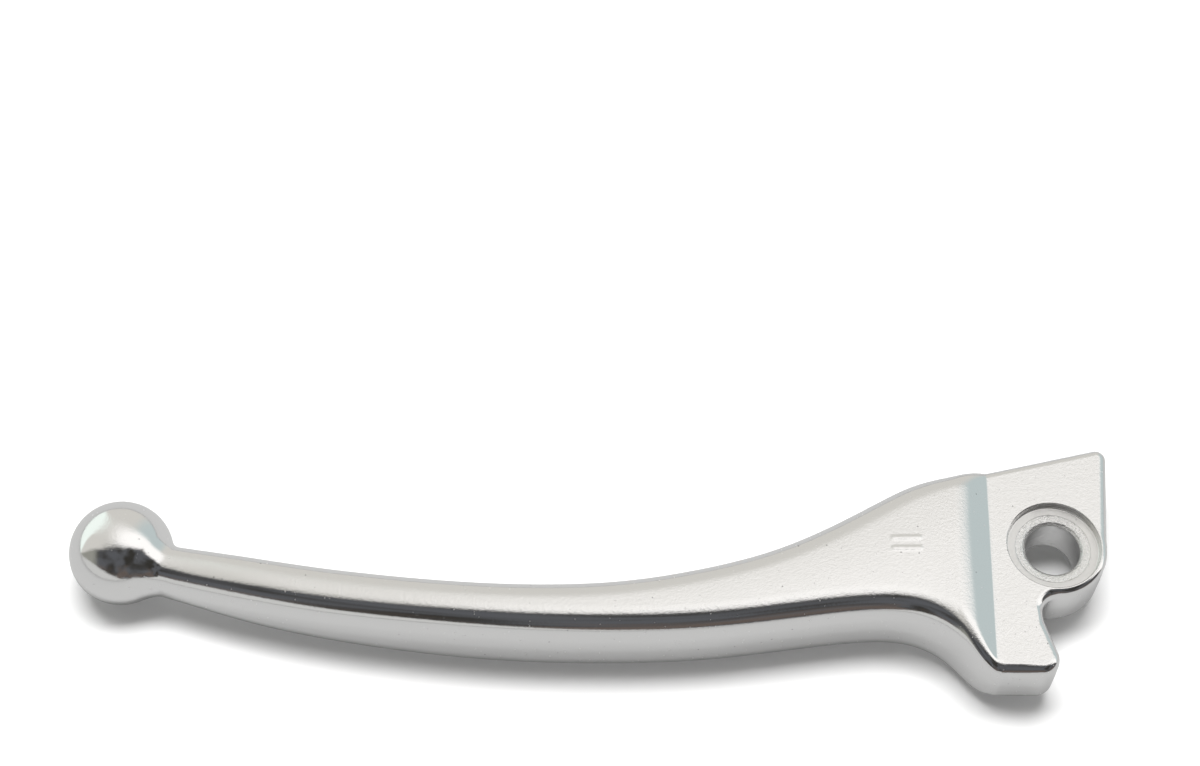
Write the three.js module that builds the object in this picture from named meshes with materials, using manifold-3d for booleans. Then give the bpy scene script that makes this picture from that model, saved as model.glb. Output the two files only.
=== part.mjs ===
// Hand lever of a scooter or moped disc-brake master cylinder: one polished aluminium die casting.
//
// Millimetres, +Z up. The lever lies on its back face: +X runs along the lever towards the pivot,
// +Y is the hollow (finger) side of the curved arm, and +Z is the front face. Shapes are drawn
// around the pivot axis and the casting's mid-plane, and the last lines move the finished lever so
// that the middle of the underside of its bounding box is the origin.

import * as THREE from "three";
import { mergeVertices } from "three/addons/utils/BufferGeometryUtils.js";
import Module from "manifold-3d";

const wasm = await Module();
wasm.setup();

// ---- driving dimensions ---------------------------------------------------------------------

// Pivot boss. The blade is the thinner, flat part that fits between the jaws of the holder.
const BLADE_THICKNESS = 10.5;
const BLADE_EDGE_RADIUS = 1.2;
const BOSS_RADIUS = 8.85;
const BORE_RADIUS = 4.5;
const CHAMFER = 0.5;
const SPOT_FACE_RADIUS = 7.65;
const FRONT_SPOT_DEPTH = 1.4;
const BACK_SPOT_DEPTH = 1.0;

// Blade outline: the outer edge leans out by OUTER_LEAN and leaves the boss as a tangent.
const OUTER_LEAN = THREE.MathUtils.degToRad(6.2);
const TOP_CORNER = new THREE.Vector2(10.97, 18.72);
const TOP_CORNER_RADIUS = 1.8;

// Notch that clears the piston, tangent to the boss, and the hook that pushes the piston.
const NOTCH_RADIUS = 3.3;
const NOTCH_BEARING = THREE.MathUtils.degToRad(-88.6);
const HOOK_TIP_CENTRE = new THREE.Vector2(-4.1, -19.7);
const HOOK_TIP_RADIUS = 3.05;

// Arm: edges of the plan outline from the blade to the ball, and the thickness along it.
const ARM_START = -8;
const ARM_END = -150;
const ARM_CORNER_RADIUS = 4.3;
const HOLLOW_EDGE = [
  [-8, 14.4], [-15, 12.95], [-21.5, 11.6], [-28, 8.5], [-36, 4.1], [-46, -0.4], [-58, -3.75],
  [-70, -5.75], [-82, -6.35], [-96, -5.8], [-111, -4.05], [-126, -1.45], [-140, 1.6], [-150, 3.6],
];
const ROUND_EDGE = [
  [-8, -22.75], [-11, -22.55], [-14, -20.8], [-17.5, -16.95], [-21, -14.35], [-25, -13.0],
  [-31, -12.75], [-41, -13.75], [-56, -15.55], [-73, -16.15], [-89, -15.6], [-105, -14.05],
  [-121, -11.6], [-135, -8.4], [-150, -3.9],
];
const ARM_THICKNESS = [
  [-8, 16.1], [-80, 16.1], [-98, 15.9], [-110, 15.0], [-120, 14.0], [-130, 12.8], [-136, 11.5],
  [-142, 10.1], [-150, 9.6],
];

// Sloping step on both faces, between the thick arm and the thin blade.
const STEP_FOOT_X = -10.4;
const STEP_HEAD_X = -14.9;
const STEP_LEAN = THREE.MathUtils.degToRad(2.5);

// Ball on the free end, with the small flat that an ejector pin left on its back.
const BALL_CENTRE = new THREE.Vector2(-152.8, 2.1);
const BALL_RADIUS = 8.5;
const BALL_FLAT_RADIUS = 2.25;

// Fineness of the facets.
const ARM_STATIONS = 52;
const CORNER_STEPS = 4;
const ROUND_SEGMENTS = 40;

// ---- helpers --------------------------------------------------------------------------------

/** Closed three.js geometry to a manifold-3d solid. */
function solid(geometry) {
  const bare = geometry.index ? geometry.clone() : geometry;
  bare.deleteAttribute("normal");
  bare.deleteAttribute("uv");
  const merged = mergeVertices(bare, 1e-4);
  return new wasm.Manifold(new wasm.Mesh({
    numProp: 3,
    vertProperties: new Float32Array(merged.attributes.position.array),
    triVerts: new Uint32Array(merged.index.array),
  }));
}

/** manifold-3d solid back to a three.js geometry. */
function geometryOf(body) {
  const mesh = body.getMesh();
  const geometry = new THREE.BufferGeometry();
  geometry.setAttribute("position", new THREE.BufferAttribute(mesh.vertProperties, 3));
  geometry.setIndex(new THREE.BufferAttribute(mesh.triVerts, 1));
  geometry.computeVertexNormals();
  return geometry;
}

/** Smooth function y(x) through a list of [x, y] points. */
function curveThrough(points) {
  const spline = new THREE.SplineCurve(points.map(([x, y]) => new THREE.Vector2(x, y)));
  const samples = spline.getPoints(400);
  return (x) => {
    const after = Math.max(1, samples.findIndex((p) => p.x <= x));
    const [a, b] = [samples[after - 1], samples[after]];
    return a.y + ((b.y - a.y) * (x - a.x)) / (b.x - a.x);
  };
}

/** Solid skin over rings of equal point count, each anticlockwise seen from the last ring's end. */
function loft(rings) {
  const count = rings[0].length;
  const index = [];
  for (let r = 0; r + 1 < rings.length; r++) {
    for (let i = 0; i < count; i++) {
      const [a, b] = [r * count + i, r * count + ((i + 1) % count)];
      index.push(a, b, a + count, b, b + count, a + count);
    }
  }
  const last = (rings.length - 1) * count;
  for (let i = 1; i + 1 < count; i++) {
    index.push(0, i + 1, i);
    index.push(last, last + i, last + i + 1);
  }
  const geometry = new THREE.BufferGeometry();
  const position = rings.flat().flatMap((p) => [p.x, p.y, p.z]);
  geometry.setAttribute("position", new THREE.Float32BufferAttribute(position, 3));
  geometry.setIndex(index);
  return geometry;
}

/** Solid of revolution about the pivot axis from [radius, z] pairs. */
function turned(profile) {
  const points = profile.map(([radius, z]) => new THREE.Vector2(radius, z));
  return solid(new THREE.LatheGeometry(points, ROUND_SEGMENTS).rotateX(Math.PI / 2));
}

// ---- arm ------------------------------------------------------------------------------------

const hollowEdge = curveThrough(HOLLOW_EDGE);
const roundEdge = curveThrough(ROUND_EDGE);
const armThickness = curveThrough(ARM_THICKNESS);

/** How far a slanted edge stretches its corner radius in the plane of a section. */
function slantStretch(edge, x) {
  const step = 0.5;
  const inside = THREE.MathUtils.clamp(x, ARM_END + step, ARM_START - step);
  return Math.hypot(1, (edge(inside + step) - edge(inside - step)) / (2 * step));
}

/** Rounded rectangle across the arm at x, as a ring of points that starts on the hollow side. */
function armSection(x) {
  const [high, low] = [hollowEdge(x), roundEdge(x)];
  const half = armThickness(x) / 2;
  const wanted = [slantStretch(hollowEdge, x), slantStretch(roundEdge, x)].map((k) => k * ARM_CORNER_RADIUS);
  const shrink = Math.min(1, (0.98 * (high - low)) / (wanted[0] + wanted[1]));
  const [highRadius, lowRadius] = wanted.map((radius) => radius * shrink);
  const rise = Math.min(ARM_CORNER_RADIUS, half);
  const corners = [
    [high - highRadius, half - rise, highRadius, 0],
    [low + lowRadius, half - rise, lowRadius, 1],
    [low + lowRadius, rise - half, lowRadius, 2],
    [high - highRadius, rise - half, highRadius, 3],
  ];
  const ring = [];
  for (const [y, z, radius, quarter] of corners) {
    for (let i = 0; i <= CORNER_STEPS; i++) {
      const angle = (quarter + i / CORNER_STEPS) * (Math.PI / 2);
      ring.push(new THREE.Vector3(x, y + radius * Math.cos(angle), z + rise * Math.sin(angle)));
    }
  }
  return ring;
}

/** The whole arm at full thickness, including the round flank of the hook. */
function armBlank() {
  const rings = [];
  for (let i = ARM_STATIONS; i >= 0; i--) {
    // Stations crowd towards the blade, where the outline turns quickly.
    const along = (i / ARM_STATIONS) ** 1.5;
    rings.push(armSection(ARM_START + (ARM_END - ARM_START) * along));
  }
  return solid(loft(rings));
}

/** Wedge that thins one face of the arm down to the blade; side is +1 for front, -1 for back. */
function stepCutter(side) {
  const blade = BLADE_THICKNESS / 2;
  const arm = ARM_THICKNESS[0][1] / 2;
  const slope = (arm - blade) / (STEP_FOOT_X - STEP_HEAD_X);
  const clear = 2;
  const profile = new THREE.Shape([
    new THREE.Vector2(STEP_FOOT_X, side * blade),
    new THREE.Vector2(STEP_HEAD_X - clear / slope, side * (arm + clear)),
    new THREE.Vector2(ARM_START + 1, side * (arm + clear)),
    new THREE.Vector2(ARM_START + 1, side * blade),
  ]);
  const length = 60;
  const wedge = new THREE.ExtrudeGeometry(profile, { depth: length, bevelEnabled: false });
  wedge.translate(0, 0, -length / 2).rotateX(Math.PI / 2).rotateZ(-STEP_LEAN);
  return solid(wedge);
}

// ---- blade ----------------------------------------------------------------------------------

/** Round corner of the given radius, where the line from before to corner turns towards after. */
function roundCorner(outline, before, corner, after, radius) {
  const back = before.clone().sub(corner).normalize();
  const ahead = after.clone().sub(corner).normalize();
  const halfAngle = back.angleTo(ahead) / 2;
  const toCentre = back.clone().add(ahead).normalize();
  const centre = corner.clone().addScaledVector(toCentre, radius / Math.sin(halfAngle));
  const start = corner.clone().addScaledVector(back, radius / Math.tan(halfAngle)).sub(centre);
  const end = corner.clone().addScaledVector(ahead, radius / Math.tan(halfAngle)).sub(centre);
  outline.absarc(centre.x, centre.y, radius, start.angle(), end.angle(), false);
}

/** Flat blade with the boss, the notch and the tip of the hook, its edges slightly rounded. */
function bladePlate() {
  const joinTop = new THREE.Vector2(ARM_START, hollowEdge(ARM_START));
  const joinBottom = new THREE.Vector2(ARM_START, roundEdge(ARM_START));
  const bossEnd = new THREE.Vector2(Math.cos(OUTER_LEAN), -Math.sin(OUTER_LEAN)).multiplyScalar(BOSS_RADIUS);
  const notchCentre = new THREE.Vector2(Math.cos(NOTCH_BEARING), Math.sin(NOTCH_BEARING))
    .multiplyScalar(BOSS_RADIUS + NOTCH_RADIUS);
  const tip = HOOK_TIP_CENTRE;

  // The wall between notch and hook tip is the line that touches both of their circles.
  const span = tip.clone().sub(notchCentre);
  const wallNormal = span.angle() - Math.acos((NOTCH_RADIUS + HOOK_TIP_RADIUS) / span.length());

  // Where the plate runs into the arm it stays just inside it, then ends well inside it.
  const shy = 0.1;
  const buried = 1.5;
  const overlap = ARM_START - 4;
  const left = ARM_START - 10;

  const outline = new THREE.Shape();
  outline.absarc(0, 0, BOSS_RADIUS, NOTCH_BEARING, -OUTER_LEAN, false);
  roundCorner(outline, bossEnd, TOP_CORNER, joinTop, TOP_CORNER_RADIUS);
  outline.lineTo(joinTop.x, joinTop.y - shy);
  outline.lineTo(overlap, hollowEdge(overlap) - shy);
  outline.lineTo(left, hollowEdge(left) - buried);
  outline.lineTo(left, roundEdge(left) + buried);
  outline.lineTo(overlap, roundEdge(overlap) + shy);
  outline.lineTo(joinBottom.x, joinBottom.y + shy);
  outline.absarc(tip.x, tip.y, HOOK_TIP_RADIUS, -Math.PI / 2, wallNormal - Math.PI, false);
  outline.absarc(notchCentre.x, notchCentre.y, NOTCH_RADIUS, wallNormal, NOTCH_BEARING + Math.PI, true);

  const plate = new THREE.ExtrudeGeometry(outline, {
    depth: BLADE_THICKNESS - 2 * BLADE_EDGE_RADIUS,
    curveSegments: 14,
    bevelThickness: BLADE_EDGE_RADIUS,
    bevelSize: BLADE_EDGE_RADIUS,
    bevelOffset: -BLADE_EDGE_RADIUS,
    bevelSegments: 3,
  });
  return solid(plate.translate(0, 0, BLADE_EDGE_RADIUS - BLADE_THICKNESS / 2));
}

/** Everything that the pivot drill and the spot-facing cutter take away. */
function pivotCutter() {
  const face = BLADE_THICKNESS / 2;
  const clear = 5;
  const frontFloor = face - FRONT_SPOT_DEPTH;
  const backFloor = BACK_SPOT_DEPTH - face;
  return turned([
    [0, -face - clear],
    [SPOT_FACE_RADIUS, -face - clear],
    [SPOT_FACE_RADIUS, backFloor],
    [BORE_RADIUS + CHAMFER, backFloor],
    [BORE_RADIUS, backFloor + CHAMFER],
    [BORE_RADIUS, frontFloor - CHAMFER],
    [BORE_RADIUS + CHAMFER, frontFloor],
    [SPOT_FACE_RADIUS, frontFloor],
    [SPOT_FACE_RADIUS, face + clear],
    [0, face + clear],
  ]);
}

// ---- ball -----------------------------------------------------------------------------------

function endBall() {
  const ball = new THREE.SphereGeometry(BALL_RADIUS, ROUND_SEGMENTS, ROUND_SEGMENTS / 2);
  ball.rotateX(Math.PI / 2).translate(BALL_CENTRE.x, BALL_CENTRE.y, 0);
  const flatLevel = -Math.sqrt(BALL_RADIUS ** 2 - BALL_FLAT_RADIUS ** 2);
  return solid(ball).trimByPlane([0, 0, 1], flatLevel);
}

// ---- the lever ------------------------------------------------------------------------------

function brakeLever() {
  let body = armBlank();
  body = body.subtract(stepCutter(+1)).subtract(stepCutter(-1));
  body = body.add(bladePlate()).add(endBall()).subtract(pivotCutter());
  const aluminium = new THREE.MeshStandardMaterial({ color: 0xd9dadb, metalness: 1, roughness: 0.16 });
  const mesh = new THREE.Mesh(geometryOf(body), aluminium);
  mesh.name = "brake_lever";
  return mesh;
}

const lever = brakeLever();
const box = new THREE.Box3().setFromObject(lever);
const centre = box.getCenter(new THREE.Vector3());
lever.position.set(-centre.x, -centre.y, -box.min.z);

const group = new THREE.Group();
group.add(lever);
export default group;
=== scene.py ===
import math

import bmesh
import bpy
import numpy as np
from mathutils import Matrix, Vector
from mathutils.geometry import delaunay_2d_cdt


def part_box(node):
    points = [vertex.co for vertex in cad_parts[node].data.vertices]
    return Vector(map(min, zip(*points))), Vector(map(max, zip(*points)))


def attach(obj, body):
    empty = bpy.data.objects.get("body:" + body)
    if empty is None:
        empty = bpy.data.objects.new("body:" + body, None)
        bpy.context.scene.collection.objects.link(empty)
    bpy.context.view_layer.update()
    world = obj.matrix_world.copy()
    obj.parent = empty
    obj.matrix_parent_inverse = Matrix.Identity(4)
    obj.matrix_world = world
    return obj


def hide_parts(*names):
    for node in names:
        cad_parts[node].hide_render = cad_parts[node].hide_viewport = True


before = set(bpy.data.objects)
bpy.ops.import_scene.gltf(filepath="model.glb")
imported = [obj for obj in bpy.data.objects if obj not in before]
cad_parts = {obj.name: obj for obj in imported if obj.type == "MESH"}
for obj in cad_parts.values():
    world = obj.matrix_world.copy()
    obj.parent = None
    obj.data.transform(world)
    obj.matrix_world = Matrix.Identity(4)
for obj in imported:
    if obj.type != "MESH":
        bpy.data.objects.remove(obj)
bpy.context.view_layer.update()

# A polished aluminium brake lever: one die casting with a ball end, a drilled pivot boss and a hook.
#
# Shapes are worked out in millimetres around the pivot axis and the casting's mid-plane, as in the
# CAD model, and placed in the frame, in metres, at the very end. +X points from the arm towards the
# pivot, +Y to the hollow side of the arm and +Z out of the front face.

MM = 0.001

# ---- driving dimensions, the same as the CAD model's (mm) ----------------------------------------

BLADE_HALF = 5.25
BOSS_RADIUS = 8.85
OUTER_LEAN = math.radians(6.2)
TOP_CORNER = np.array([10.97, 18.72])
TOP_CORNER_RADIUS = 1.8
NOTCH_RADIUS = 3.3
NOTCH_BEARING = math.radians(-88.6)
HOOK_TIP_CENTRE = np.array([-4.1, -19.7])
HOOK_TIP_RADIUS = 3.05

ARM_HALF = 8.05
ARM_FILLET = 4.3
BLADE_FILLET = ARM_HALF - BLADE_HALF
HOLLOW_EDGE = [
    (-150, 3.6), (-140, 1.6), (-126, -1.45), (-111, -4.05), (-96, -5.8), (-82, -6.35), (-70, -5.75),
    (-58, -3.75), (-46, -0.4), (-36, 4.1), (-28, 8.5), (-21.5, 11.6), (-15, 12.95), (-8, 14.4),
]
ROUND_EDGE = [
    (-150, -3.9), (-135, -8.4), (-121, -11.6), (-105, -14.05), (-89, -15.6), (-73, -16.15),
    (-56, -15.55), (-41, -13.75), (-31, -12.75), (-25, -13.0), (-21, -14.35), (-17.5, -16.95),
    (-14, -20.8), (-11, -22.55), (-8, -22.75),
]
ARM_HALF_THICKNESS = [
    (-150, 4.8), (-142, 5.05), (-136, 5.75), (-130, 6.4), (-120, 7.0), (-110, 7.5), (-98, 7.95),
    (-80, 8.05), (-8, 8.05),
]

STEP_FOOT_X = -10.4
STEP_HEAD_X = -14.9
STEP_LEAN = math.radians(2.5)
STEP_SLOPE = (ARM_HALF - BLADE_HALF) / (STEP_FOOT_X - STEP_HEAD_X)

BALL_CENTRE = np.array([-152.8, 2.1, 0.0])
BALL_RADIUS = 8.5
BALL_FLAT_RADIUS = 2.25
BALL_FLAT_RIM = 0.18
BALL_FLAT_SINK = 0.06
BALL_FLAT_LEVEL = math.sqrt(BALL_RADIUS**2 - BALL_FLAT_RADIUS**2)

BORE_RADIUS = 4.5
RECESS_RADIUS = 7.65
FRONT_RECESS_FLOOR = 3.85
BACK_RECESS_FLOOR = -4.25
RING_RADIUS = 6.2
RING_DEPTH = 0.08

EJECTOR_RADIUS = 2.62
EJECTOR_CENTRES = [(5.2, 12.2), (-6.95, -12.4)]

MARK_CENTRE = np.array([-24.6, -0.9])
MARK_LENGTH = 4.2
MARK_GAP = 1.9
MARK_HEIGHT = 0.11

# ---- softness of the real casting (mm) -----------------------------------------------------------

EDGE_ROUNDING = 1.5
STEP_ROUNDING = 0.9
CROWN = 0.3
NECK_FILLET = 1.6
WALL_DRAFT = 0.012
FILLET_POWER = 2.25
STEP_FOOT_SOFTNESS = 0.25

# ---- surface of the real casting (mm) ------------------------------------------------------------

# The grain's depth everywhere, then what flat faces, as-cast places and the back add to it.
GRAIN_SCALE = 2.0
GRAIN_DEPTH = 0.010
GRAIN_ON_FACES = 0.052
GRAIN_AS_CAST = 0.03
GRAIN_BEHIND = 0.05
WAVE_DEPTH = 0.004
PIT_SPACING = 1.5
PIT_RADIUS = 0.14
PIT_DEPTH = 0.05
PINHOLE_SPACING = 0.8
PINHOLE_RADIUS = 0.12
RING_CHATTER = 0.20
BORE_CHATTER = 0.13
SCRATCH_LENGTH = 5.0
SCRATCH_WIDTH = 0.07
SCRATCH_DEPTH = 0.012
SCRATCH_ANGLES = [0.5, 0.9, -0.35, 2.2]
ALUMINIUM = (0.905, 0.903, 0.897, 1)
ALUMINIUM_AS_CAST = (0.84, 0.835, 0.825, 1)

# ---- view of the photograph (mm from the pivot), and the paper's shades --------------------------

AZIMUTH = math.radians(-2.25)
ELEVATION = math.radians(58.85)
ROLL = math.radians(1.69)
DISTANCE = 416.5
LENS = 72.66
VIEW_CENTRE = Vector((-73.7, 34.4, 0.0))

# What the metal mirrors of the paper is painted darker than the overexposed paper itself, and there the
# paper has a painted glow that lifts its shadows.
PAPER = 0.92
PAPER_IN_METAL = 0.36
PAPER_PAINTED_GLOW_IN_METAL = 0.10
ROOM_LIGHT_ON_PAPER = 0.4


# ---- curves --------------------------------------------------------------------------------------

def smooth_curve(points, start_slope=None, end_slope=None):
    """Cubic spline y(x) through points, straight past its ends; the function also gives its slope."""
    x, y = np.array(points, float).T
    step = np.diff(x)
    slope = np.diff(y) / step
    count = len(x)
    system = np.eye(count)
    load = np.zeros(count)
    for i in range(1, count - 1):
        system[i, i - 1:i + 2] = step[i - 1], 2 * (step[i - 1] + step[i]), step[i]
        load[i] = 6 * (slope[i] - slope[i - 1])
    if start_slope is not None:
        system[0, :2] = 2 * step[0], step[0]
        load[0] = 6 * (slope[0] - start_slope)
    if end_slope is not None:
        system[-1, -2:] = step[-1], 2 * step[-1]
        load[-1] = 6 * (end_slope - slope[-1])
    bend = np.linalg.solve(system, load)

    def value(at, derivative=0):
        at = np.asarray(at, float)
        inside = np.clip(at, x[0], x[-1])
        i = np.clip(np.searchsorted(x, inside) - 1, 0, count - 2)
        a, b, h = x[i + 1] - inside, inside - x[i], step[i]
        rise = (bend[i + 1] * b**2 - bend[i] * a**2) / (2 * h)
        rise = rise + slope[i] - h * (bend[i + 1] - bend[i]) / 6
        if derivative:
            return rise
        height = (
            (bend[i] * a**3 + bend[i + 1] * b**3) / (6 * h)
            + (y[i] / h - bend[i] * h / 6) * a
            + (y[i + 1] / h - bend[i + 1] * h / 6) * b
        )
        return height + rise * (at - inside)

    return value


TOP_LINE_SLOPE = (TOP_CORNER[1] - HOLLOW_EDGE[-1][1]) / (TOP_CORNER[0] - HOLLOW_EDGE[-1][0])
hollow_edge = smooth_curve(HOLLOW_EDGE, end_slope=TOP_LINE_SLOPE)
round_edge = smooth_curve(ROUND_EDGE, end_slope=0.0)
arm_half = smooth_curve(ARM_HALF_THICKNESS, end_slope=0.0)


def smooth_step(low, high, value):
    t = np.clip((np.asarray(value, float) - low) / (high - low), 0, 1)
    return t * t * (3 - 2 * t)


def inward(points, tangents):
    """Unit normals to the right of tangents, into the metal, as the outline runs clockwise."""
    unit = tangents / np.linalg.norm(tangents, axis=1, keepdims=True)
    return np.stack([unit[:, 1], -unit[:, 0]], axis=1)


# ---- plan outline of the blade -------------------------------------------------------------------

def arc(centre, radius, start, end, segments):
    """Points and inward normals of an arc; start > end turns clockwise, round solid metal."""
    angle = np.linspace(start, end, segments + 1)
    ray = np.stack([np.cos(angle), np.sin(angle)], axis=1)
    return centre + radius * ray, -ray if start > end else ray


def line(start, end, segments):
    points = start + np.linspace(0, 1, segments + 1)[:, None] * (np.asarray(end) - start)
    return points, inward(points, np.tile(np.asarray(end) - start, (segments + 1, 1)))


def corner_arc(before, corner, after, radius, segments):
    """The clockwise arc that rounds a corner of the outline."""
    back = (before - corner) / np.linalg.norm(before - corner)
    ahead = (after - corner) / np.linalg.norm(after - corner)
    half_angle = math.acos(np.dot(back, ahead)) / 2
    toward = (back + ahead) / np.linalg.norm(back + ahead)
    centre = corner + toward * radius / math.sin(half_angle)
    reach = radius / math.tan(half_angle)
    start = math.atan2(*(corner + back * reach - centre)[::-1])
    end = math.atan2(*(corner + ahead * reach - centre)[::-1])
    return arc(centre, radius, start, end - (2 * math.pi if end > start else 0), segments)


def blade_outline(join_top, join_bottom):
    """Clockwise outline from the top join, by corner, boss, notch and hook tip, to the bottom join."""
    boss_top = BOSS_RADIUS * np.array([math.cos(OUTER_LEAN), -math.sin(OUTER_LEAN)])
    to_notch = np.array([math.cos(NOTCH_BEARING), math.sin(NOTCH_BEARING)])
    notch_centre = (BOSS_RADIUS + NOTCH_RADIUS) * to_notch
    span = HOOK_TIP_CENTRE - notch_centre
    wall_normal = math.atan2(span[1], span[0]) - math.acos(
        (NOTCH_RADIUS + HOOK_TIP_RADIUS) / np.linalg.norm(span)
    )
    corner = corner_arc(join_top, TOP_CORNER, boss_top, TOP_CORNER_RADIUS, 28)
    boss = arc(np.zeros(2), BOSS_RADIUS, -OUTER_LEAN, NOTCH_BEARING, 64)
    notch = arc(notch_centre, NOTCH_RADIUS, NOTCH_BEARING + math.pi, wall_normal + 2 * math.pi, 40)
    tip = arc(HOOK_TIP_CENTRE, HOOK_TIP_RADIUS, wall_normal + math.pi, -math.pi / 2, 44)
    runs = [
        line(join_top, corner[0][0], 40), corner,
        line(corner[0][-1], boss[0][0], 36), boss, notch,
        line(notch[0][-1], tip[0][0], 16), tip,
        line(tip[0][-1], join_bottom, 16),
    ]
    points = np.concatenate([run[0][(i > 0):] for i, run in enumerate(runs)])
    normals = np.concatenate([run[1][(i > 0):] for i, run in enumerate(runs)])
    return points, normals


# ---- the surface as an implicit function ---------------------------------------------------------
# Every function below is negative inside the metal, in millimetres, and takes whole arrays.

def round_both(a, b, radius):
    """Inside both a and b, with the edge between them rounded."""
    grown = np.hypot(np.maximum(radius + a, 0), np.maximum(radius + b, 0))
    return np.minimum(-radius, np.maximum(a, b)) + grown


def round_either(a, b, radius):
    """Inside a or b, with the corner between them filled by a fillet."""
    shrunk = np.hypot(np.maximum(radius - a, 0), np.maximum(radius - b, 0))
    return np.maximum(radius, np.minimum(a, b)) - shrunk


def filleted_slab(inset, z, half, fillet, half_width):
    """Slab of half thickness half; inset is the distance inside its edge, rounded with fillet."""
    across = np.minimum(fillet, half_width)
    crown = CROWN * (1 - np.clip(inset / half_width, 0, 1))**2
    a = np.maximum(across - inset + WALL_DRAFT * np.abs(z), 0) / across
    b = np.maximum(np.abs(z) + crown - (half - fillet), 0) / fillet
    gauge = (a**FILLET_POWER + b**FILLET_POWER) ** (1 / FILLET_POWER) - 1
    return gauge * np.minimum(across, fillet)


def past_step_foot(x, y):
    """Distance from the foot of the step towards the arm."""
    return STEP_FOOT_X - (x - y * math.tan(STEP_LEAN))


def step_surface(x, y, z):
    """The thin blade, the sloping step and the open space above the arm, on both faces."""
    reach = past_step_foot(x, y)
    ramp = (reach + np.hypot(reach, STEP_FOOT_SOFTNESS)) / 2
    return (np.abs(z) - BLADE_HALF - STEP_SLOPE * ramp) * math.cos(math.atan(STEP_SLOPE))


def casting(x, y, z, inset, half, fillet, half_width, edge=EDGE_ROUNDING):
    """Arm or blade with its edges rounded."""
    slab = filleted_slab(inset, z, half, fillet, half_width)
    rounding = edge + (STEP_ROUNDING - edge) * smooth_step(1.0, 3.5, inset)
    return round_both(slab, step_surface(x, y, z), rounding)


def hollow_fillet(x):
    """The hollow side's big edge fillet fades out where the blade begins."""
    return BLADE_FILLET + (ARM_FILLET - BLADE_FILLET) * smooth_step(-10, -22, x)


def edge_insets(x, y):
    """Distance inside the nearer edge of the arm, that edge's fillet, and half the arm's width."""
    stretch = np.hypot(1, hollow_edge(x, 1)), np.hypot(1, round_edge(x, 1))
    from_hollow = (hollow_edge(x) - y) / stretch[0]
    from_round = (y - round_edge(x)) / stretch[1]
    half_width = (hollow_edge(x) - round_edge(x)) / (stretch[0] + stretch[1])
    fillet = np.minimum(np.where(from_hollow < from_round, hollow_fillet(x), ARM_FILLET), arm_half(x))
    return np.minimum(from_hollow, from_round), fillet, half_width


def arm_and_ball(x, y, z):
    inset, fillet, half_width = edge_insets(x, y)
    arm = casting(x, y, z, inset, arm_half(x), fillet, half_width)
    arm = np.maximum(arm, BALL_CENTRE[0] - x)
    ball = np.sqrt((x - BALL_CENTRE[0])**2 + (y - BALL_CENTRE[1])**2 + z**2) - BALL_RADIUS
    return round_either(arm, ball, NECK_FILLET)


def reach_surface(surface, shape, far, rounds=44):
    """How far along each of an array of rays the surface lies, between 0 and far, by halving."""
    low, high = np.zeros(shape), np.full(shape, float(far))
    for _ in range(rounds):
        middle = (low + high) / 2
        inside = surface(middle) < 0
        low = np.where(inside, middle, low)
        high = np.where(inside, high, middle)
    return (low + high) / 2


# ---- mesh of the casting -------------------------------------------------------------------------

# How a point of the surface is finished; the material tells them apart.
POLISHED, AS_CAST, MACHINED = 0.0, 0.5, 1.0

WALL_STEPS = 9
CORNER_STEPS = 16
MIDDLE_STEPS = 72
BALL_STEPS = 40
PIVOT_SEGMENTS = 160
MARK_SEGMENTS = 72
FIRST_RIB_X = STEP_FOOT_X + 0.7
LAST_RIB_X = -141.0

# How far inside the edge the rim's rays start (mm), and the round marks they keep clear of.
BLADE_CORE = 1.6
ARM_CORE = 5.0
LIP_RADIUS = RECESS_RADIUS + 0.22
MARK_GROOVE_RADIUS = EJECTOR_RADIUS + 0.24

# Half width that stands for "no opposite edge near by".
WIDE = 100.0


class Skin:
    """One closed mesh in millimetres.

    finish and level are for some of its points: how they are finished, and whether they face
    straight up (+1) or down (-1).
    """

    def __init__(self):
        self.points = []
        self.faces = []
        self.finish = {}
        self.level = {}

    def add(self, points):
        """Adds points and gives their indices, in an array of the same shape."""
        points = np.asarray(points, float)
        first = len(self.points)
        self.points.extend(points.reshape(-1, 3))
        return np.arange(first, len(self.points)).reshape(points.shape[:-1])

    def bridge(self, rows, closed):
        """Quads between neighbouring rows of indices."""
        for a, b in zip(rows[:-1], rows[1:]):
            count = len(a)
            for i in range(count if closed else count - 1):
                j = (i + 1) % count
                self.faces.append((a[i], a[j], b[j], b[i]))

    def fan(self, loop, point):
        """Triangles between a loop of indices and a new point; gives the point's index."""
        middle = int(self.add([point])[0])
        self.faces += [(loop[i], loop[(i + 1) % len(loop)], middle) for i in range(len(loop))]
        return middle

    def set_finish(self, indices, value):
        self.finish.update((int(index), value) for index in indices)

    def fill(self, boundary, holes, facing):
        """Triangles over a level region between a clockwise boundary and round holes.

        All are loops of indices. Their points are marked as level, facing up (+1) or down (-1).
        """
        used, edges, owner = [], [], []
        for number, loop in enumerate([boundary, *holes]):
            first, count = len(used), len(loop)
            used += list(loop)
            owner += [number] * count
            edges += [(first + i, first + (i + 1) % count) for i in range(count)]
        flat = [Vector(self.points[index][:2]) for index in used]
        whole_hull, tolerance, with_origins = 0, 1e-7, True
        result = delaunay_2d_cdt(flat, edges, [], whole_hull, tolerance, with_origins)
        triangles, origin = result[2:4]
        for triangle in triangles:
            corners = sorted(origin[corner][0] for corner in triangle)
            a, b, c = (flat[corner] for corner in corners)
            outside_boundary = (b - a).cross(c - a) >= 0
            one_loop = len({owner[corner] for corner in corners}) == 1
            if one_loop and (owner[corners[0]] > 0 or outside_boundary):
                continue
            self.faces.append(tuple(used[corner] for corner in corners))
        self.level.update((int(index), facing) for index in used)


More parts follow.
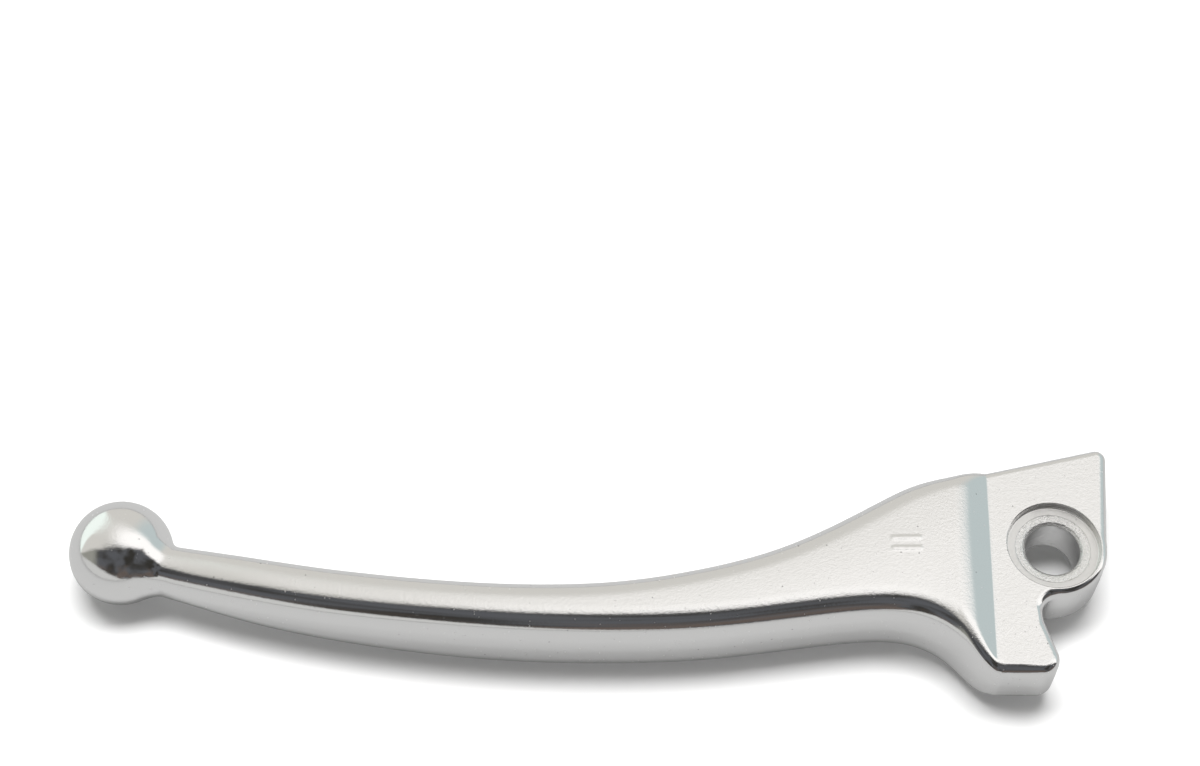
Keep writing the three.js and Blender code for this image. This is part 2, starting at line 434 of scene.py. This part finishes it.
def rims(points, normals, core, height, surface):
    """Sections of the edge, one row for each outline point, from the back face round to the front face.

    Rays leave the point core inside the edge at mid-height, aimed at a plain rounded edge of the given
    height so that they crowd where it turns, and stop at surface(x, y, z, inset).
    """
    core, height = core[:, None], height[:, None]
    turn = np.linspace(0, math.pi / 2, CORNER_STEPS + 1)
    rounding = np.clip(core, BLADE_CORE, np.minimum(ARM_FILLET, height))
    wall = np.linspace(0, 1, WALL_STEPS, endpoint=False) * (height - rounding)
    inset = np.concatenate([np.zeros_like(wall), core * (1 - np.cos(turn))], axis=1)
    rise = np.concatenate([wall, height - rounding + rounding * np.sin(turn)], axis=1)
    inset = np.concatenate([inset[:, :0:-1], inset], axis=1)
    rise = np.concatenate([-rise[:, :0:-1], rise], axis=1)

    def place(fraction):
        depth = core + (inset - core) * fraction
        x = points[:, :1] + normals[:, :1] * depth
        y = points[:, 1:] + normals[:, 1:] * depth
        return x, y, rise * fraction, depth

    fraction = reach_surface(lambda f: surface(*place(f)), inset.shape, far=1.7)
    return np.stack(place(fraction)[:3], axis=2)


def rib_layout():
    """Where the ribs of the arm's mesh stand: the x of each end, on the hollow and the round edge.

    They stand closer around the cast mark. They lean to cross the arm squarely, and beside the step
    to run along it.
    """
    spacing = [(-141, 0.8), (-60, 0.6), (-32, 0.35), (-29, 0.16), (-21, 0.16), (-18, 0.2), (-8, 0.2)]
    lean = smooth_curve([
        (-141, 0.36), (-110, 0.14), (-80, 0.0), (-55, -0.2), (-35, -0.3), (-25, -0.12),
        (-17, math.tan(STEP_LEAN)), (-8, math.tan(STEP_LEAN)),
    ])
    centres = [FIRST_RIB_X]
    while centres[-1] > LAST_RIB_X:
        centres.append(centres[-1] - float(np.interp(centres[-1], *zip(*spacing))))
    x = np.array(centres)
    middle = (hollow_edge(x) + round_edge(x)) / 2
    high, low = x.copy(), x.copy()
    for _ in range(30):
        high = x + lean(x) * (hollow_edge(high) - middle)
        low = x + lean(x) * (round_edge(low) - middle)
    return high, low


def step_height(x, y):
    """Half thickness left by the step at a place in plan."""
    return BLADE_HALF + STEP_SLOPE * np.maximum(past_step_foot(x, y), 0)


def arm_rims(x, edge, side):
    """Rims along one edge of the arm; side is -1 on the hollow edge and +1 on the round edge."""
    points = np.stack([x, edge(x)], axis=1)
    normals = side * np.stack([-edge(x, 1), np.ones_like(x)], axis=1)
    normals /= np.linalg.norm(normals, axis=1, keepdims=True)
    half_width = edge_insets(x, edge(x))[2]
    core = BLADE_CORE + (ARM_CORE - BLADE_CORE) * smooth_step(-9, -22, x)
    core = np.minimum(core, 0.55 * half_width)
    height = np.minimum(arm_half(x), step_height(*points.T))
    return rims(points, normals, core, height, lambda x, y, z, inset: arm_and_ball(x, y, z))


def middles(starts, ends, side):
    """Rows of points over the front (side +1) or back (-1) between two lines of rim ends."""
    share = np.linspace(0, 1, MIDDLE_STEPS + 1)[1:-1, None]
    plan = starts[:, None, :2] * (1 - share) + ends[:, None, :2] * share
    x, y = plan[..., 0], plan[..., 1]
    height = reach_surface(lambda h: arm_and_ball(x, y, h), x.shape, far=10.0)
    if side > 0:
        height = height + cast_mark(x, y)
    return np.dstack([x, y, side * height])


def cast_mark(x, y):
    """Height of the small raised mould mark on the front of the arm: two short parallel ribs."""
    u, v = x - MARK_CENTRE[0], y - MARK_CENTRE[1]
    from_rib = np.hypot(np.maximum(np.abs(u) - MARK_LENGTH / 2, 0), np.abs(v) - MARK_GAP / 2)
    return MARK_HEIGHT * (1 - smooth_step(0.15, 0.6, from_rib))


def ball_loops(last_rib):
    """Closed loops of points from the last rib over the neck and the ball, and the ball's far pole."""
    start = np.append(last_rib[:, :2].mean(axis=0), 0.0)
    axis = (BALL_CENTRE - start) / np.linalg.norm(BALL_CENTRE - start)
    across = np.array([axis[1], -axis[0], 0.0])
    up = np.array([0.0, 0.0, 1.0])
    offset = last_rib - start
    own_angles = np.unwrap(np.arctan2(offset @ up, offset @ across))
    turns = np.sign(own_angles[-1] - own_angles[0])
    even_angles = own_angles[0] + turns * 2 * math.pi * np.arange(len(offset)) / len(offset)

    length = np.linalg.norm(BALL_CENTRE - start)
    neck_start, neck_end = length - BALL_RADIUS - 1.0, length - BALL_RADIUS + 4.0
    along = np.concatenate([
        np.linspace(0.3, neck_start, 6, endpoint=False),
        np.linspace(neck_start, neck_end, 36, endpoint=False),
        np.linspace(neck_end, length, 12, endpoint=False),
        np.full(BALL_STEPS, length),
    ])
    to_pole = np.linspace(0, math.pi / 2, BALL_STEPS, endpoint=False)
    polar = np.concatenate([np.zeros(len(along) - BALL_STEPS), to_pole])
    evenness = smooth_step(0, length, along)[:, None]
    angles = own_angles * (1 - evenness) + even_angles * evenness
    origin = start + along[:, None] * axis
    spoke = np.cos(angles)[..., None] * across + np.sin(angles)[..., None] * up
    ray = np.cos(polar)[:, None, None] * spoke + np.sin(polar)[:, None, None] * axis

    def place(distance):
        return origin[:, None, :] + ray * distance[..., None]

    def surface(distance):
        at = place(distance)
        return arm_and_ball(at[..., 0], at[..., 1], at[..., 2])

    loops = place(reach_surface(surface, angles.shape, far=12.0))
    return loops, BALL_CENTRE + axis * BALL_RADIUS


def recess_profile():
    """Section of the machined pivot, from the front face through the bore to the back face.

    Each entry is (radius, height, finish). The lists are steps away from a radius and a face.
    """
    lip = [(0.22, 0), (0.17, 0), (0.12, 0.02), (0.06, 0.08)]
    foot = [(0.04, 0.24), (0.10, 0.09), (0.22, 0.01), (0.40, 0)]
    ring_edge = [(0.08, 0), (0, 0.01)]
    ring_face = [RING_RADIUS - 0.10, RING_RADIUS - 0.25, BORE_RADIUS + 0.55]
    chamfer = [(0.44, 0.05), (0.12, 0.36), (0.03, 0.46), (0, 0.60)]

    def side(face, floor, out):
        ring_level = floor - out * RING_DEPTH
        return [
            *((RECESS_RADIUS + grow, face - out * drop, POLISHED) for grow, drop in lip),
            (RECESS_RADIUS + 0.03, face - out * 0.22, AS_CAST),
            *((RECESS_RADIUS - shrink, floor + out * rise, AS_CAST) for shrink, rise in foot),
            *((RING_RADIUS + grow, floor - out * drop, AS_CAST) for grow, drop in ring_edge),
            *((radius, ring_level, MACHINED) for radius in ring_face),
            *((BORE_RADIUS + grow, ring_level - out * drop, MACHINED) for grow, drop in chamfer),
        ]

    front = side(BLADE_HALF, FRONT_RECESS_FLOOR, 1)
    back = side(-BLADE_HALF, BACK_RECESS_FLOOR, -1)
    levels = np.linspace(front[-1][1], back[-1][1], 14)[1:-1]
    return front + [(BORE_RADIUS, level, MACHINED) for level in levels] + back[::-1]


def ring(radius, height, segments, centre=(0.0, 0.0)):
    angle = np.linspace(0, 2 * math.pi, segments, endpoint=False)
    x, y = centre[0] + radius * np.cos(angle), centre[1] + radius * np.sin(angle)
    return np.stack([x, y, np.full(segments, float(height))], axis=1)


def add_pivot(skin):
    """The recess, the bore and the recess behind it; gives the front and back rims."""
    profile = recess_profile()
    rows = [skin.add(ring(radius, height, PIVOT_SEGMENTS)) for radius, height, _ in profile]
    skin.bridge(rows, closed=True)
    for row, (_, _, finish) in zip(rows, profile):
        skin.set_finish(row, finish)
    return rows[0], rows[-1]


def add_ejector_mark(skin, centre):
    """Disc left by an ejector pin in the back of the blade, in a faint groove; gives its outer rim."""
    groove = [(0.24, 0), (0.16, 0), (0.08, 0.03), (0.02, 0.10), (-0.05, 0.10)]
    disc = [(-0.11, 0.03), (-0.2, -0.02), (-0.32, -0.02), (-EJECTOR_RADIUS / 2, -0.02)]
    rows = [
        skin.add(ring(EJECTOR_RADIUS + grow, depth - BLADE_HALF, MARK_SEGMENTS, centre))
        for grow, depth in groove + disc
    ]
    skin.bridge(rows, closed=True)
    middle = skin.fan(rows[-1], [*centre, disc[-1][1] - BLADE_HALF])
    skin.set_finish([middle, *np.concatenate(rows[len(groove):])], AS_CAST)
    return rows[0]


def add_arm(skin, high, low):
    """Arm, neck and ball; gives the first rib's hollow rim, front, round rim and back, as indices."""
    hollow_rims = arm_rims(high, hollow_edge, -1)
    round_rims = arm_rims(low, round_edge, +1)[:, ::-1]
    front = middles(hollow_rims[:, -1], round_rims[:, 0], +1)
    back = middles(round_rims[:, -1], hollow_rims[:, 0], -1)
    ribs = skin.add(np.concatenate([hollow_rims, front, round_rims, back], axis=1))
    skin.bridge(ribs, closed=True)

    neck, pole = ball_loops(np.asarray(skin.points)[ribs[-1]])
    loops = skin.add(neck)
    skin.bridge([ribs[-1], *loops], closed=True)
    skin.fan(loops[-1], pole)
    lengths = [run.shape[1] for run in (hollow_rims, front, round_rims)]
    return np.split(ribs[0], np.cumsum(lengths))


def blade_rims(points, normals):
    """Rims round the blade's outline, kept clear of the recesses and the ejector marks."""
    travelled = np.concatenate([[0], np.cumsum(np.linalg.norm(np.diff(points, axis=0), axis=1))])
    to_arm = travelled[-1] - travelled
    fillet = BLADE_FILLET + (ARM_FILLET - BLADE_FILLET) * smooth_step(9.0, 2.0, to_arm)

    circles = [((0, 0), LIP_RADIUS), *((centre, MARK_GROOVE_RADIUS) for centre in EJECTOR_CENTRES)]
    room = [np.linalg.norm(points - centre, axis=1) - radius for centre, radius in circles]
    core = np.minimum(BLADE_CORE, np.min(room, axis=0) - 0.05)

    own = slice(1, -1)
    core, fillet = core[own], fillet[own, None]

    def blade_surface(x, y, z, inset):
        edge = np.minimum(EDGE_ROUNDING, 1.15 * core)[:, None]
        return casting(x, y, z, inset, ARM_HALF, fillet, WIDE, edge)

    return rims(points[own], normals[own], core, np.full(len(core), BLADE_HALF), blade_surface)


def build_casting():
    """All of the lever's surface, as a Skin."""
    skin = Skin()
    high, low = rib_layout()
    hollow_ids, front_ids, round_ids, back_ids = add_arm(skin, high, low)
    outline = blade_outline(
        np.array([high[0], hollow_edge(high[0])]), np.array([low[0], round_edge(low[0])])
    )
    blade = skin.add(blade_rims(*outline))
    blade = np.concatenate([hollow_ids[None], blade, round_ids[None, ::-1]])
    skin.bridge(blade, closed=False)

    front_rim, back_rim = add_pivot(skin)
    marks = [add_ejector_mark(skin, centre) for centre in EJECTOR_CENTRES]
    skin.fill([*blade[:, -1], *front_ids[::-1]], [front_rim], +1)
    skin.fill([*blade[:, 0], *back_ids], [back_rim, *marks], -1)
    return skin


# ---- the casting as an object, in metres in the frame --------------------------------------------

def cut_ball_flat(bm):
    """Cuts the level mark of an ejector pin into the back of the ball: a matt disc in a narrow rim."""
    cut = bmesh.ops.bisect_plane(
        bm, geom=bm.verts[:] + bm.edges[:] + bm.faces[:], dist=1e-4,
        plane_co=(0, 0, -BALL_FLAT_LEVEL), plane_no=(0, 0, -1), clear_outer=True,
    )
    rim = [edge for edge in cut["geom_cut"] if isinstance(edge, bmesh.types.BMEdge)]
    disc = bmesh.ops.contextual_create(bm, geom=rim)["faces"]
    bmesh.ops.recalc_face_normals(bm, faces=bm.faces)
    bmesh.ops.inset_region(bm, faces=disc, thickness=BALL_FLAT_RIM, depth=-BALL_FLAT_SINK)
    finish = bm.verts.layers.float["finish"]
    for vertex in disc[0].verts:
        vertex[finish] = AS_CAST
    for edge in [*rim, *disc[0].edges]:
        edge.smooth = False


def make_lever(material):
    """The casting as an object; its level regions get exactly upright normals."""
    skin = build_casting()
    mesh = bpy.data.meshes.new("lever casting")
    mesh.from_pydata([tuple(point) for point in skin.points], [], skin.faces)
    for name, values, unmarked in (("finish", skin.finish, POLISHED), ("level", skin.level, 0.0)):
        marks = mesh.attributes.new(name, "FLOAT", "POINT")
        marks.data.foreach_set("value", [values.get(i, unmarked) for i in range(len(skin.points))])

    bm = bmesh.new()
    bm.from_mesh(mesh)
    for face in bm.faces:
        face.smooth = True
    cut_ball_flat(bm)
    bm.transform(PLACE @ Matrix.Scale(MM, 4))
    bm.to_mesh(mesh)
    bm.free()
    level = mesh.attributes["level"].data
    mesh.normals_split_custom_set_from_vertices([(0, 0, mark.value) for mark in level])
    mesh.attributes.remove(mesh.attributes["level"])
    mesh.materials.append(material)
    lever = bpy.data.objects.new("lever_casting", mesh)
    bpy.context.collection.objects.link(lever)
    return lever


low_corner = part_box("brake_lever")[0]
PIVOT = Vector((
    low_corner[0] + (BALL_RADIUS - BALL_CENTRE[0]) * MM,
    low_corner[1] - (HOOK_TIP_CENTRE[1] - HOOK_TIP_RADIUS) * MM,
    low_corner[2] + BALL_FLAT_LEVEL * MM,
))
PLACE = Matrix.Translation(PIVOT)


# ---- materials -----------------------------------------------------------------------------------

class Nodes:
    """Short way to build and link shader nodes."""

    def __init__(self, tree):
        self.tree = tree

    def new(self, kind, *values, **settings):
        """Adds a node, sets its properties and its inputs in order; None leaves an input alone."""
        node = self.tree.nodes.new(kind)
        for name, value in settings.items():
            setattr(node, name, value)
        for socket, value in zip([s for s in node.inputs if s.enabled], values):
            self.put(socket, value)
        return node

    def put(self, socket, value):
        if isinstance(value, bpy.types.NodeSocket):
            self.tree.links.new(value, socket)
        elif value is not None:
            socket.default_value = value

    def math(self, operation, *values):
        return self.new("ShaderNodeMath", *values, operation=operation).outputs[0]

    def vector(self, operation, *values):
        return self.new("ShaderNodeVectorMath", *values, operation=operation).outputs[0]

    def ramp(self, value, low, high, start=0.0, end=1.0):
        """Smooth change from start to end while value goes from low to high."""
        values = value, low, high, start, end
        return self.new("ShaderNodeMapRange", *values, interpolation_type="SMOOTHSTEP").outputs[0]

    def noise(self, where, scale, detail=2.0, roughness=0.5):
        node = self.new("ShaderNodeTexNoise")
        settings = dict(Vector=where, Scale=scale, Detail=detail, Roughness=roughness)
        for name, value in settings.items():
            self.put(node.inputs[name], value)
        return node.outputs["Fac"]

    def mix(self, factor, a, b):
        """Linear mix of two numbers or sockets."""
        return self.new("ShaderNodeMix", factor, a, b).outputs[0]

    def blend(self, factor, a, b):
        """Linear mix of two colours or sockets."""
        node = self.new("ShaderNodeMix", factor, a, b, data_type="RGBA")
        return next(socket for socket in node.outputs if socket.type == "RGBA")


def scratches(n, where, angle, length, width, seed):
    """1 on fine straight scratches that lie at an angle in plan, else 0; sizes in millimetres."""
    turned = n.new("ShaderNodeMapping")
    n.put(turned.inputs["Vector"], where)
    turned.inputs["Location"].default_value = (seed, seed * 1.7, 0)
    turned.inputs["Rotation"].default_value = (0, 0, angle)
    turned.inputs["Scale"].default_value = (1 / length, 1 / width, 0.05)
    lines = n.noise(turned.outputs[0], 1.0, detail=0.0)
    return n.ramp(lines, 0.76, 0.84)


def pits(n, where, spacing, radius):
    """1 in small round casting pits scattered over the surface, else 0; sizes in millimetres."""
    cells = n.new("ShaderNodeTexVoronoi")
    n.put(cells.inputs["Vector"], where)
    cells.inputs["Scale"].default_value = 1 / spacing
    chance = n.new("ShaderNodeSeparateColor", cells.outputs["Color"]).outputs[0]
    size = n.ramp(chance, 0.5, 1.0, 0.0, radius / spacing)
    return n.math("GREATER_THAN", n.math("SUBTRACT", size, cells.outputs["Distance"]), 0.0)


def casting_height(n, where, level, cast, behind, pitted):
    """Grain, slight waves and pits of the casting (mm); the grain is deeper on flat faces and behind."""
    depth = n.math("MULTIPLY_ADD", level, GRAIN_ON_FACES, GRAIN_DEPTH)
    depth = n.math("MULTIPLY_ADD", cast, GRAIN_AS_CAST, depth)
    depth = n.math("MULTIPLY_ADD", behind, GRAIN_BEHIND, depth)
    grain = n.noise(where, GRAIN_SCALE, detail=4.0, roughness=0.75)
    waves = n.noise(where, 0.45, detail=1.0)
    height = n.math("MULTIPLY_ADD", waves, WAVE_DEPTH, n.math("MULTIPLY", grain, depth))
    return n.math("MULTIPLY_ADD", pitted, -PIT_DEPTH, height)


def chatter_height(n, x, y, z):
    """Marks of the cutter (mm): fine spokes on the rings round the bore, broad ones on its wall."""
    radius = n.math("SQRT", n.math("ADD", n.math("MULTIPLY", x, x), n.math("MULTIPLY", y, y)))
    on_ring = n.ramp(radius, BORE_RADIUS + 0.05, BORE_RADIUS + 0.30)
    around = n.math("MULTIPLY", n.math("ARCTAN2", y, x), n.mix(on_ring, 1.6, 9.0))
    polar = n.new("ShaderNodeCombineXYZ", n.math("MULTIPLY", radius, 1.6), around, z)
    chatter = n.noise(polar.outputs[0], 1.7, detail=3.0, roughness=0.6)
    return n.math("MULTIPLY", chatter, n.mix(on_ring, BORE_CHATTER, RING_CHATTER))


def scratched_patch(n, where, x, behind):
    """1 on the fine scratches in one patch of the arm's back, else 0."""
    scratched = 0.0
    for number, angle in enumerate(SCRATCH_ANGLES):
        lines = scratches(n, where, angle, SCRATCH_LENGTH, SCRATCH_WIDTH, 3.1 + 7.7 * number)
        scratched = n.math("MAXIMUM", scratched, lines)
    patch = n.math("MULTIPLY", n.ramp(x, -62, -52), n.ramp(x, -30, -42))
    return n.math("MULTIPLY", scratched, n.math("MULTIPLY", behind, patch))


def casting_roughness(n, where, level, cast):
    """Glossy on rounded edges, duller on flat faces and as cast, uneven, with dull pinholes."""
    roughness = n.math("MULTIPLY_ADD", level, 0.11, 0.09)
    roughness = n.math("MULTIPLY_ADD", cast, 0.15, roughness)
    uneven = n.math("MULTIPLY_ADD", n.noise(where, 0.25, detail=3.0), 0.5, 0.75)
    pinholes = pits(n, where, PINHOLE_SPACING, PINHOLE_RADIUS)
    return n.math("MULTIPLY_ADD", pinholes, 0.4, n.math("MULTIPLY", roughness, uneven))


def casting_colour(n, cast, machined, pitted):
    """Aluminium, a little darker as cast, with painted shade darkening the pits."""
    tone = n.blend(cast, ALUMINIUM, ALUMINIUM_AS_CAST)
    # Painted shade: away from machined faces the colour drops by 0.45 in the pits, for the shadow inside
    # them.
    pit_painted_shade = n.math("MULTIPLY", pitted, n.math("SUBTRACT", 1.0, machined))
    return n.vector("MULTIPLY", tone, n.math("MULTIPLY_ADD", pit_painted_shade, -0.45, 1.0))


def polished_aluminium():
    """Polished casting: glossy rounded edges, grainy flat faces, a cast recess and a drilled bore."""
    material = bpy.data.materials.new("polished_aluminium")
    material.use_nodes = True
    n = Nodes(material.node_tree)
    place = n.new("ShaderNodeTexCoord")
    where = n.vector("SCALE", n.vector("SUBTRACT", place.outputs["Object"], tuple(PIVOT)))
    where.node.inputs["Scale"].default_value = 1 / MM
    x, y, z = n.new("ShaderNodeSeparateXYZ", where).outputs
    up = n.new("ShaderNodeSeparateXYZ", place.outputs["Normal"]).outputs[2]
    mark = n.new("ShaderNodeAttribute", attribute_name="finish", attribute_type="GEOMETRY")
    finish = mark.outputs["Fac"]

    level = n.ramp(n.math("ABSOLUTE", up), 0.90, 0.995)
    behind = n.ramp(n.math("MULTIPLY", up, -1.0), 0.80, 0.95)
    machined = n.ramp(finish, 0.70, 0.80)
    cast = n.math("SUBTRACT", n.ramp(finish, 0.20, 0.30), machined)
    pitted = pits(n, where, PIT_SPACING, PIT_RADIUS)

    height = casting_height(n, where, level, cast, behind, pitted)
    height = n.mix(machined, height, chatter_height(n, x, y, z))
    scratched = scratched_patch(n, where, x, behind)
    height = n.math("MULTIPLY_ADD", scratched, -SCRATCH_DEPTH, height)
    bump = n.new("ShaderNodeBump")
    bump.inputs["Distance"].default_value = MM
    bump.inputs["Strength"].default_value = 1.0
    n.put(bump.inputs["Height"], height)

    shader = n.tree.nodes["Principled BSDF"]
    n.put(shader.inputs["Base Color"], casting_colour(n, cast, machined, pitted))
    n.put(shader.inputs["Roughness"], casting_roughness(n, where, level, cast))
    n.put(shader.inputs["Normal"], bump.outputs[0])
    shader.inputs["Metallic"].default_value = 1.0
    return material


def floor_material():
    """Plain matt white paper, overexposed in the picture but not in what the metal mirrors, where its
    colour is painted darker and it has a painted glow.
    """
    material = bpy.data.materials.new("white_paper")
    material.use_nodes = True
    n = Nodes(material.node_tree)
    shader = n.tree.nodes["Principled BSDF"]
    mirrored = n.new("ShaderNodeLightPath").outputs["Is Glossy Ray"]
    # Painted shade: the paper's colour is darker for glossy rays, in what the metal mirrors.
    grey = n.mix(mirrored, PAPER, PAPER * PAPER_IN_METAL)
    n.put(shader.inputs["Base Color"], n.new("ShaderNodeCombineColor", grey, grey, grey).outputs[0])
    # Painted glow: the paper emits light only for glossy rays, lifting its shadows as the metal mirrors
    # them.
    shader.inputs["Emission Color"].default_value = (1, 1, 1, 1)
    n.put(shader.inputs["Emission Strength"], n.math("MULTIPLY", mirrored, PAPER_PAINTED_GLOW_IN_METAL))
    shader.inputs["Roughness"].default_value = 0.9
    shader.inputs["Specular IOR Level"].default_value = 0.0
    return material


# ---- light ---------------------------------------------------------------------------------------

# What stands around the lever, as the metal mirrors it.
CEILING = (1.12, 1.10, 1.08, 1)
WINDOW = (0.96, 1.04, 0.99, 1)
WARM_WALL = (0.66, 0.645, 0.61, 1)
COOL_WALL = (0.53, 0.60, 0.605, 1)
GLOOM = (0.036, 0.034, 0.030, 1)
DIM_WALL = (0.10, 0.103, 0.112, 1)
WOOD = (0.15, 0.11, 0.088, 1)
FAR_END = (0.30, 0.30, 0.27, 1)
TABLE = (0.60, 0.60, 0.59, 1)


def degrees(n, value, low, high):
    return n.ramp(value, math.radians(low), math.radians(high))


def bright_side(n, x, height):
    """Ceiling, window and walls above and behind the lever; height is the angle up from the front."""
    shade = n.blend(n.ramp(x, 0.35, 0.75), WARM_WALL, COOL_WALL)
    ceiling = n.math("MULTIPLY", degrees(n, height, 134, 110), n.ramp(x, -0.34, 0.10))
    shade = n.blend(ceiling, shade, CEILING)
    window = n.math("MULTIPLY", n.ramp(x, -0.34, -0.44), degrees(n, height, 122, 134))
    return n.blend(window, shade, WINDOW)


def dark_room(n, direction, x, height):
    """Dim patches in front of the lever, some of them warm, and the lighter far end of the room."""
    patches = n.ramp(n.noise(direction, 2.4, detail=3.0), 0.40, 0.62)
    shade = n.blend(patches, GLOOM, DIM_WALL)
    warm = n.ramp(n.noise(direction, 3.2, detail=3.0), 0.46, 0.62)
    warm = n.math("MULTIPLY", warm, degrees(n, height, 40, 26))
    shade = n.blend(n.math("MULTIPLY", warm, 0.6), shade, WOOD)
    return n.blend(n.ramp(x, -0.62, -0.85), shade, FAR_END)


def studio():
    """World seen in the metal: a bright side, a dark room before the lever, and the table below."""
    world = bpy.data.worlds.new("studio")
    world.use_nodes = True
    n = Nodes(world.node_tree)
    direction = n.new("ShaderNodeTexCoord").outputs["Generated"]
    x, y, z = n.new("ShaderNodeSeparateXYZ", direction).outputs
    height = n.math("ARCTAN2", z, n.math("MULTIPLY", y, -1.0))
    wobble = n.math("MULTIPLY_ADD", n.noise(direction, 3.0, detail=3.0), 0.40, -0.20)
    uneven_height = n.math("ADD", height, wobble)

    room = dark_room(n, direction, x, uneven_height)
    shade = n.blend(degrees(n, uneven_height, 70, 82), room, bright_side(n, x, height))
    slanted_height = n.math("MULTIPLY_ADD", x, 0.45, uneven_height)
    shade = n.blend(degrees(n, slanted_height, 9, 5), shade, TABLE)
    on_paper = n.new("ShaderNodeLightPath").outputs["Is Diffuse Ray"]
    background = n.tree.nodes["Background"]
    n.put(background.inputs["Color"], shade)
    n.put(background.inputs["Strength"], n.mix(on_paper, 1.0, ROOM_LIGHT_ON_PAPER))
    bpy.context.scene.world = world


def area_light(name, place, size, power):
    """Soft light aimed at the frame's origin (m, W). It lights only the paper, not the metal."""
    light = bpy.data.lights.new(name, "AREA")
    light.shape = "RECTANGLE"
    light.size, light.size_y = size
    light.energy = power
    lamp = bpy.data.objects.new(name, light)
    lamp.location = place
    lamp.rotation_mode = "QUATERNION"
    lamp.rotation_quaternion = (-Vector(place)).to_track_quat("-Z", "Y")
    lamp.visible_glossy = False
    bpy.context.collection.objects.link(lamp)


# ---- camera --------------------------------------------------------------------------------------

def make_camera():
    """The photograph's view; the lever lies below the middle of the picture."""
    target = PIVOT + VIEW_CENTRE * MM
    back = Vector((
        math.sin(AZIMUTH) * math.cos(ELEVATION),
        -math.cos(AZIMUTH) * math.cos(ELEVATION),
        math.sin(ELEVATION),
    ))
    across = Vector((0, 0, 1)).cross(back).normalized()
    up = back.cross(across)
    right = across * math.cos(ROLL) + up * math.sin(ROLL)
    top = up * math.cos(ROLL) - across * math.sin(ROLL)
    data = bpy.data.cameras.new("camera")
    data.lens = LENS
    data.clip_start, data.clip_end = 0.01, 20.0
    camera = bpy.data.objects.new("camera", data)
    turn = Matrix((right, top, back)).transposed().to_4x4()
    camera.matrix_world = Matrix.Translation(target + back * DISTANCE * MM) @ turn
    bpy.context.collection.objects.link(camera)
    bpy.context.scene.camera = camera


# ---- scene ---------------------------------------------------------------------------------------

make_camera()
lever = make_lever(polished_aluminium())
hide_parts("brake_lever")
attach(lever, "root")

bpy.ops.mesh.primitive_plane_add(size=6.0, location=(0, 0, low_corner[2]))
paper = bpy.context.object
paper.name = "floor"
paper.data.materials.append(floor_material())

studio()
area_light("key", place=(-0.03, 0.17, 0.78), size=(0.6, 0.30), power=8.4)
area_light("fill", place=(0.05, -0.60, 0.60), size=(0.7, 0.4), power=1.3)

bpy.context.scene.view_settings.view_transform = "Standard"
